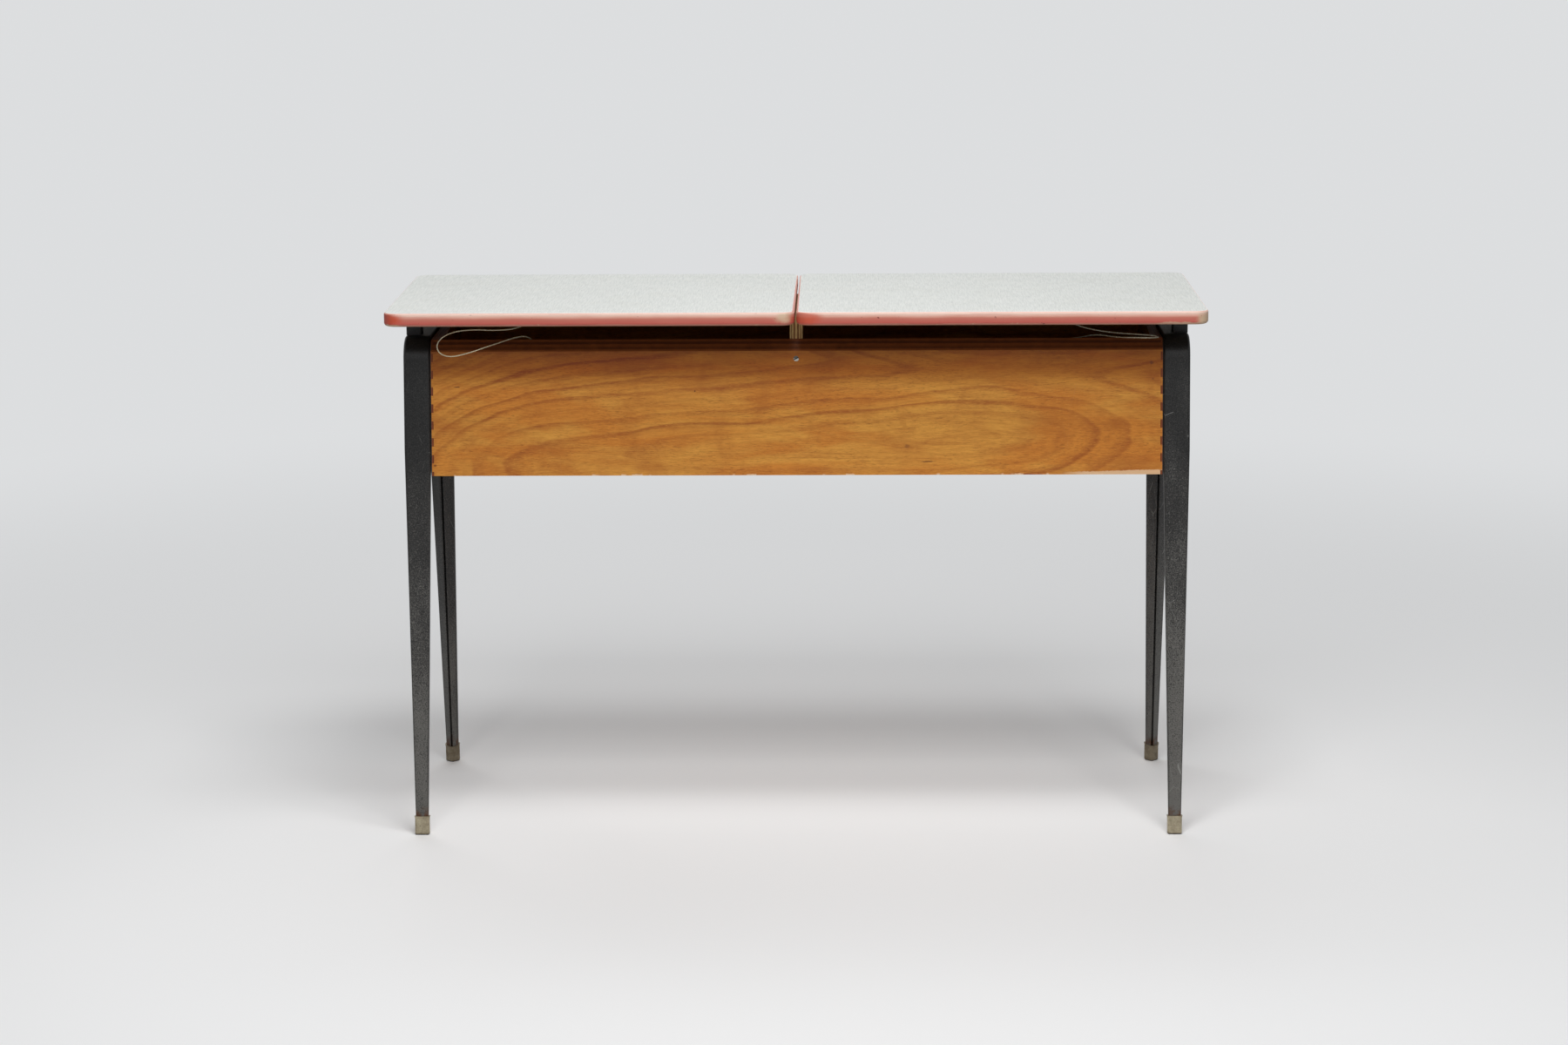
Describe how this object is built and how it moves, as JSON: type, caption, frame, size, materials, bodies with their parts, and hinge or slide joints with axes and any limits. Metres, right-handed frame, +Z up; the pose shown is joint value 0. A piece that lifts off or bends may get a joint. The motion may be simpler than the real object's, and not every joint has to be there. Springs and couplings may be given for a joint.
{
  "type": "double school desk",
  "caption": "Double desk with side-by-side flip-up lids over a plywood box on splayed, tapered folded-steel legs with plated ferrules.",
  "frame": {"origin": "on the floor under the middle of the desk, the centre of the bounding box's bottom face", "axes": "+X to the right seen from the side the lids open from, +Y towards the hinges, +Z up"},
  "size_m": [1.2, 0.45, 0.785],
  "materials": {
    "lid_laminate": "worn satin laminate",
    "lid_board": "board with a worn painted edge",
    "lid_backing": "thin plain sheet",
    "beech_ply": "varnished beech plywood",
    "frame_steel": "hammered dark grey paint",
    "ferrule_nickel": "worn nickel plate",
    "foot_plastic": "hard dark plastic",
    "buffer_rubber": "black moulded rubber",
    "hinge_steel": "zinc plated",
    "screw_steel": "dulled plated steel",
    "clip_steel": "plain plated steel",
    "cord_nylon": "clear nylon line"
  },
  "bodies": {
    "desk": {"bottom_board": "beech_ply", "buffer_screws": "screw_steel", "centre_divider": "beech_ply", "divider_screws": "screw_steel", "frame_lug_screws": "screw_steel", "front_batten": "beech_ply", "front_left_ferrule": "ferrule_nickel", "front_left_foot_pad": "foot_plastic", "front_left_frame_lug": "frame_steel", "front_left_leg": "frame_steel", "front_panel": "beech_ply", "front_right_ferrule": "ferrule_nickel", "front_right_foot_pad": "foot_plastic", "front_right_frame_lug": "frame_steel", "front_right_leg": "frame_steel", "left_end_panel": "beech_ply", "left_inner_hinge_panel_leaf": "hinge_steel", "left_inner_hinge_pin": "hinge_steel", "left_lid_buffer": "buffer_rubber", "left_outer_hinge_panel_leaf": "hinge_steel", "left_outer_hinge_pin": "hinge_steel", "left_panel_clip": "clip_steel", "left_stay_cord": "cord_nylon", "panel_hardware_screws": "screw_steel", "rear_batten": "beech_ply", "rear_left_ferrule": "ferrule_nickel", "rear_left_foot_pad": "foot_plastic", "rear_left_frame_lug": "frame_steel", "rear_left_leg": "frame_steel", "rear_panel": "beech_ply", "rear_right_ferrule": "ferrule_nickel", "rear_right_foot_pad": "foot_plastic", "rear_right_frame_lug": "frame_steel", "rear_right_leg": "frame_steel", "right_end_panel": "beech_ply", "right_inner_hinge_panel_leaf": "hinge_steel", "right_inner_hinge_pin": "hinge_steel", "right_lid_buffer": "buffer_rubber", "right_outer_hinge_panel_leaf": "hinge_steel", "right_outer_hinge_pin": "hinge_steel", "right_panel_clip": "clip_steel", "right_stay_cord": "cord_nylon", "top_rail_left": "frame_steel", "top_rail_right": "frame_steel"},
    "left_lid": {"left_inner_hinge_lid_leaf": "hinge_steel", "left_lid_backing": "lid_backing", "left_lid_board": "lid_board", "left_lid_clip": "clip_steel", "left_lid_laminate": "lid_laminate", "left_lid_screws": "screw_steel", "left_outer_hinge_lid_leaf": "hinge_steel"},
    "right_lid": {"right_inner_hinge_lid_leaf": "hinge_steel", "right_lid_backing": "lid_backing", "right_lid_board": "lid_board", "right_lid_clip": "clip_steel", "right_lid_laminate": "lid_laminate", "right_lid_screws": "screw_steel", "right_outer_hinge_lid_leaf": "hinge_steel"}
  },
  "joints": [
    {"name": "left_lid_hinge", "type": "hinge", "parent": "desk", "child": "left_lid", "pos_m": [-0.30075, 0.14352, 0.76145], "axis": [-1, 0, 0], "range_deg": [0, 70], "deforming": ["left_stay_cord"]},
    {"name": "right_lid_hinge", "type": "hinge", "parent": "desk", "child": "right_lid", "pos_m": [0.30075, 0.14352, 0.76145], "axis": [-1, 0, 0], "range_deg": [0, 70], "deforming": ["right_stay_cord"]}
  ]
}
